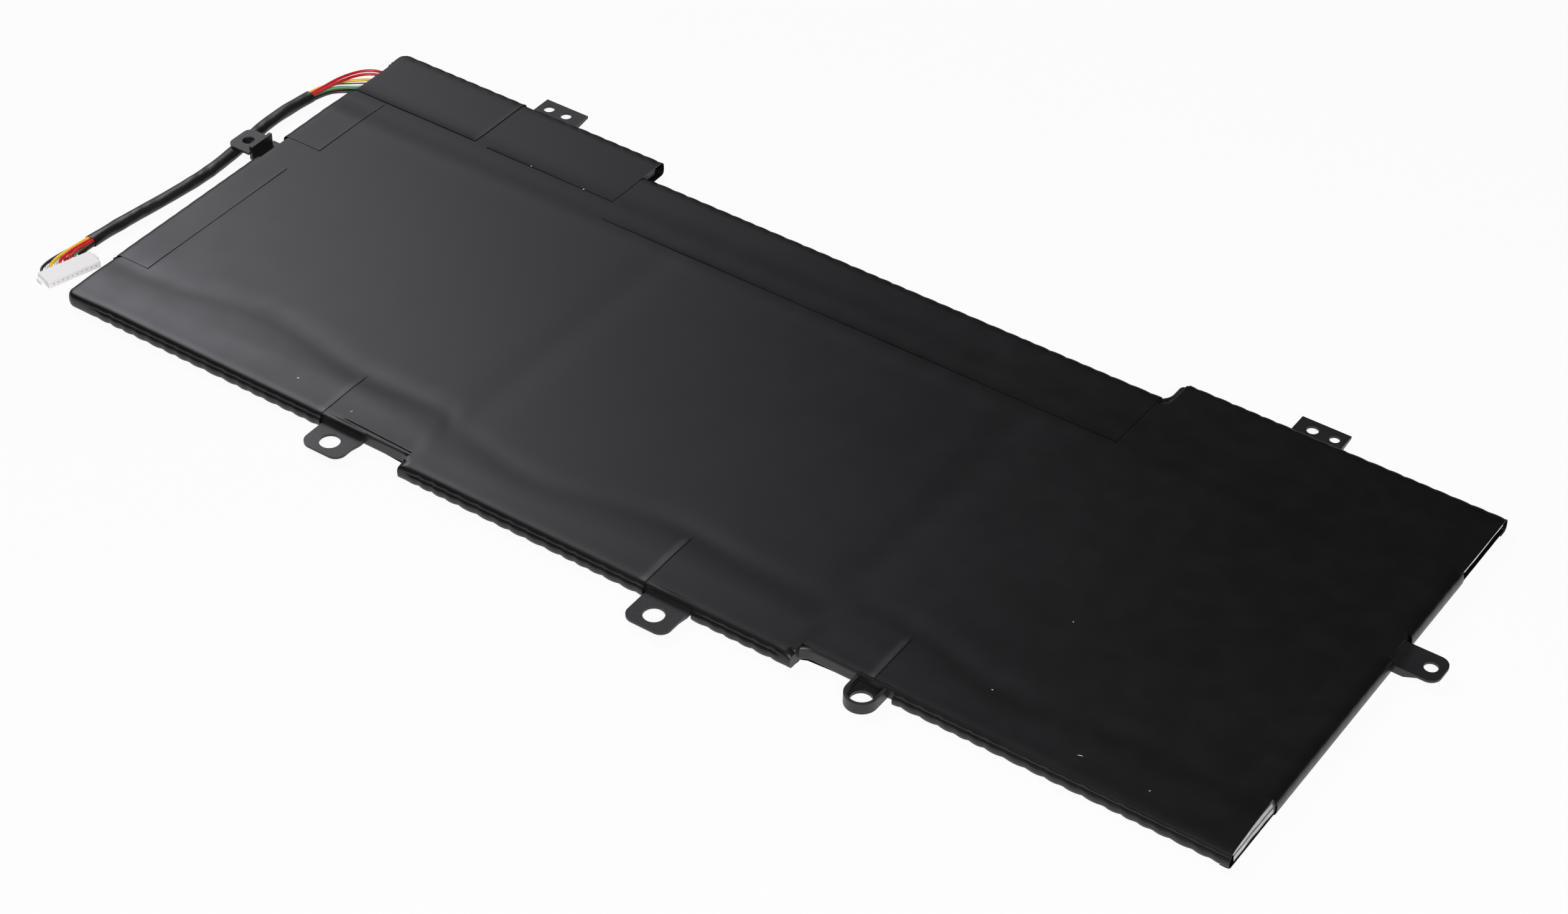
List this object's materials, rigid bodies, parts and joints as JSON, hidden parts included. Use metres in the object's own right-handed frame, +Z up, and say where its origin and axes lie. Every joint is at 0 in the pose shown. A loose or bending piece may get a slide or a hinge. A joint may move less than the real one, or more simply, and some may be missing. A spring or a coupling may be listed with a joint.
{
  "type": "laptop battery",
  "caption": "Slim flat laptop battery: film-wrapped pouch cells in a moulded frame with screw ears, and a sleeved cable ending in a flat white plug.",
  "frame": {"origin": "centre of the bounding box of the pack with its ears, without the cable, on the bottom face of the film", "axes": "+X along the pack, away from the cable; +Y from the stepped front edge to the recessed back edge; +Z up, out of the laptop's battery bay"},
  "size_m": [0.3148, 0.1348, 0.004],
  "materials": {
    "frame_plastic": "fine matte moulding",
    "adhesive": "thin double-sided adhesive",
    "pouch_foil": "laminated silver pouch foil",
    "nickel": "thin nickel strip",
    "aluminium_tab": "thin bare tab",
    "amber_tape": "thin amber tape",
    "board": "solder mask",
    "chip": "moulded package",
    "ceramic": "white ceramic",
    "resistor": "coated chip",
    "paper": "pressed insulating paper",
    "film": "satin black film",
    "wire_black": "satin insulation",
    "wire_white": "satin insulation",
    "wire_yellow": "satin insulation",
    "wire_red": "satin insulation",
    "wire_green": "satin insulation",
    "contact": "plated contact",
    "sleeve": "shrunk satin tube",
    "plug_plastic": "white moulding"
  },
  "bodies": {
    "root": {"moulded_frame": "frame_plastic", "cell_pad_left": "adhesive", "pouch_cell_left": "pouch_foil", "tab_negative_left": "nickel", "tab_positive_left": "aluminium_tab", "terrace_tape_left": "amber_tape", "cell_pad_middle": "adhesive", "pouch_cell_middle": "pouch_foil", "tab_negative_middle": "nickel", "tab_positive_middle": "aluminium_tab", "terrace_tape_middle": "amber_tape", "cell_pad_right": "adhesive", "pouch_cell_right": "pouch_foil", "tab_negative_right": "nickel", "tab_positive_right": "aluminium_tab", "terrace_tape_right": "amber_tape", "protection_board": "board", "gauge_chip": "chip", "safety_chip": "chip", "charge_mosfet": "chip", "discharge_mosfet": "chip", "cell_fuse": "ceramic", "sense_resistor": "resistor", "thermistor": "resistor", "series_link_left": "nickel", "series_link_right": "nickel", "bus_strip_positive": "nickel", "bus_strip_negative": "nickel", "insulating_paper": "paper", "lower_film": "film", "upper_film": "film", "wire_01_black": "wire_black", "wire_09_black": "wire_black", "wire_10_black": "wire_black", "wire_02_white": "wire_white", "wire_04_white": "wire_white", "wire_03_yellow": "wire_yellow", "wire_05_red": "wire_red", "wire_06_red": "wire_red", "wire_07_red": "wire_red", "wire_08_green": "wire_green", "plug_contact_01": "contact", "plug_contact_02": "contact", "plug_contact_03": "contact", "plug_contact_04": "contact", "plug_contact_05": "contact", "plug_contact_06": "contact", "plug_contact_07": "contact", "plug_contact_08": "contact", "plug_contact_09": "contact", "plug_contact_10": "contact", "cable_sleeve": "sleeve", "plug_housing": "plug_plastic"}
  },
  "joints": []
}
